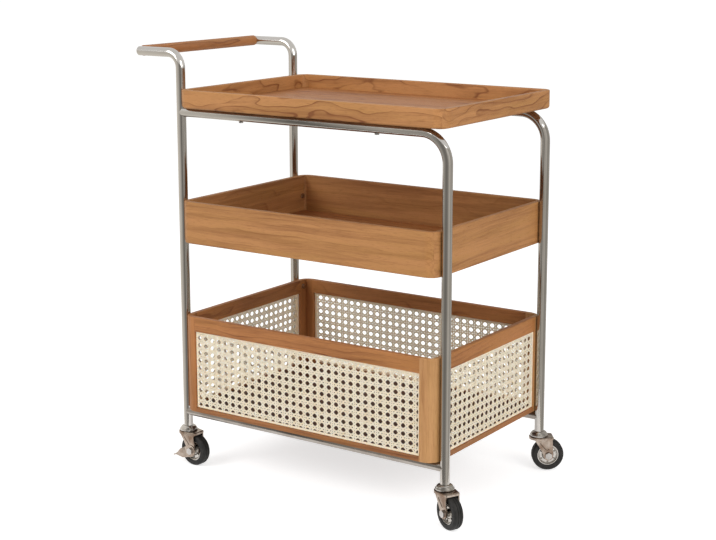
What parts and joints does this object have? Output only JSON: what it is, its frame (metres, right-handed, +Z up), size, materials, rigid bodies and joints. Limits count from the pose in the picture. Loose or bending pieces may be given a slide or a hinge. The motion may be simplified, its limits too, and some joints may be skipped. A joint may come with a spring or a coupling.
{
  "type": "kitchen cart",
  "caption": "Rolling kitchen cart: bent chrome tube frame with push handle, shallow wooden top tray, deeper middle tray, caned basket below and swivel casters.",
  "frame": {"origin": "on the floor, below the middle of the cart's outer box", "axes": "+Z up, X along the cart with the push handle towards -X, Y across the cart"},
  "size_m": [0.7901, 0.4426, 0.87],
  "materials": {
    "chrome": "polished chrome plate on steel tube and pressings",
    "zinc_steel": "bright zinc",
    "case_wood": "satin lacquer, horizontal grain",
    "floor_wood": "satin lacquer",
    "handle_wood": "satin lacquer on turned wood",
    "cane": "natural split cane, unvarnished",
    "tyre": "solid rubber"
  },
  "bodies": {
    "frame": {"arm_end_caps": "chrome", "back_bent_upright": "chrome", "back_handle_upright": "chrome", "back_lower_rail": "chrome", "ball_races": "zinc_steel", "basket_back_bottom_rail": "case_wood", "basket_back_cane": "cane", "basket_back_left_post": "case_wood", "basket_back_right_post": "case_wood", "basket_back_top_rail": "case_wood", "basket_far_end_bottom_rail": "case_wood", "basket_far_end_cane": "cane", "basket_far_end_top_rail": "case_wood", "basket_floor": "floor_wood", "basket_front_bottom_rail": "case_wood", "basket_front_cane": "cane", "basket_front_left_post": "case_wood", "basket_front_right_post": "case_wood", "basket_front_top_rail": "case_wood", "basket_handle_end_bottom_rail": "case_wood", "basket_handle_end_cane": "cane", "basket_handle_end_top_rail": "case_wood", "box_bolts": "zinc_steel", "caster_stems": "chrome", "foot_inserts": "zinc_steel", "front_bent_upright": "chrome", "front_handle_upright": "chrome", "front_lower_rail": "chrome", "handle_bar": "handle_wood", "handle_studs": "zinc_steel", "middle_tray_back_wall": "case_wood", "middle_tray_far_end_wall": "case_wood", "middle_tray_floor": "floor_wood", "middle_tray_front_wall": "case_wood", "middle_tray_handle_end_wall": "case_wood", "top_tray_back_wall": "case_wood", "top_tray_far_end_wall": "case_wood", "top_tray_floor": "floor_wood", "top_tray_front_wall": "case_wood", "top_tray_handle_end_wall": "case_wood", "tray_screws": "zinc_steel"},
    "back_left_swivel": {"back_left_axle_bolt": "zinc_steel", "back_left_caster_fork": "chrome"},
    "back_left_brake": {"back_left_brake_lever": "chrome"},
    "back_left_rolling": {"back_left_tyre": "tyre", "back_left_wheel": "chrome"},
    "back_right_swivel": {"back_right_axle_bolt": "zinc_steel", "back_right_caster_fork": "chrome"},
    "back_right_rolling": {"back_right_tyre": "tyre", "back_right_wheel": "chrome"},
    "front_left_swivel": {"front_left_axle_bolt": "zinc_steel", "front_left_caster_fork": "chrome"},
    "front_left_brake": {"front_left_brake_lever": "chrome"},
    "front_left_rolling": {"front_left_tyre": "tyre", "front_left_wheel": "chrome"},
    "front_right_swivel": {"front_right_axle_bolt": "zinc_steel", "front_right_caster_fork": "chrome"},
    "front_right_rolling": {"front_right_tyre": "tyre", "front_right_wheel": "chrome"}
  },
  "joints": [
    {"name": "front_left_swivel_turn", "type": "hinge", "parent": "frame", "child": "front_left_swivel", "pos_m": [-0.28, -0.188, 0.083], "axis": [0, 0, 1], "continuous": true},
    {"name": "front_left_wheel_spin", "type": "hinge", "parent": "front_left_swivel", "child": "front_left_rolling", "pos_m": [-0.26172, -0.1888, 0.033], "axis": [0.0436, 0.999, 0], "continuous": true},
    {"name": "front_left_brake_lift", "type": "hinge", "parent": "front_left_swivel", "child": "front_left_brake", "pos_m": [-0.26172, -0.1888, 0.033], "axis": [0.0436, 0.999, 0], "range_deg": [0, 45]},
    {"name": "front_right_swivel_turn", "type": "hinge", "parent": "frame", "child": "front_right_swivel", "pos_m": [0.346, -0.188, 0.083], "axis": [0, 0, 1], "continuous": true},
    {"name": "front_right_wheel_spin", "type": "hinge", "parent": "front_right_swivel", "child": "front_right_rolling", "pos_m": [0.36256, -0.19579, 0.033], "axis": [0.4258, 0.9048, 0], "continuous": true},
    {"name": "back_right_swivel_turn", "type": "hinge", "parent": "frame", "child": "back_right_swivel", "pos_m": [0.346, 0.188, 0.083], "axis": [0, 0, 1], "continuous": true},
    {"name": "back_right_wheel_spin", "type": "hinge", "parent": "back_right_swivel", "child": "back_right_rolling", "pos_m": [0.36062, 0.19901, 0.033], "axis": [-0.6018, 0.7986, 0], "continuous": true},
    {"name": "back_left_swivel_turn", "type": "hinge", "parent": "frame", "child": "back_left_swivel", "pos_m": [-0.28, 0.188, 0.083], "axis": [0, 0, 1], "continuous": true},
    {"name": "back_left_wheel_spin", "type": "hinge", "parent": "back_left_swivel", "child": "back_left_rolling", "pos_m": [-0.26224, 0.19243, 0.033], "axis": [-0.2419, 0.9703, 0], "continuous": true},
    {"name": "back_left_brake_lift", "type": "hinge", "parent": "back_left_swivel", "child": "back_left_brake", "pos_m": [-0.26224, 0.19243, 0.033], "axis": [-0.2419, 0.9703, 0], "range_deg": [0, 45]}
  ]
}
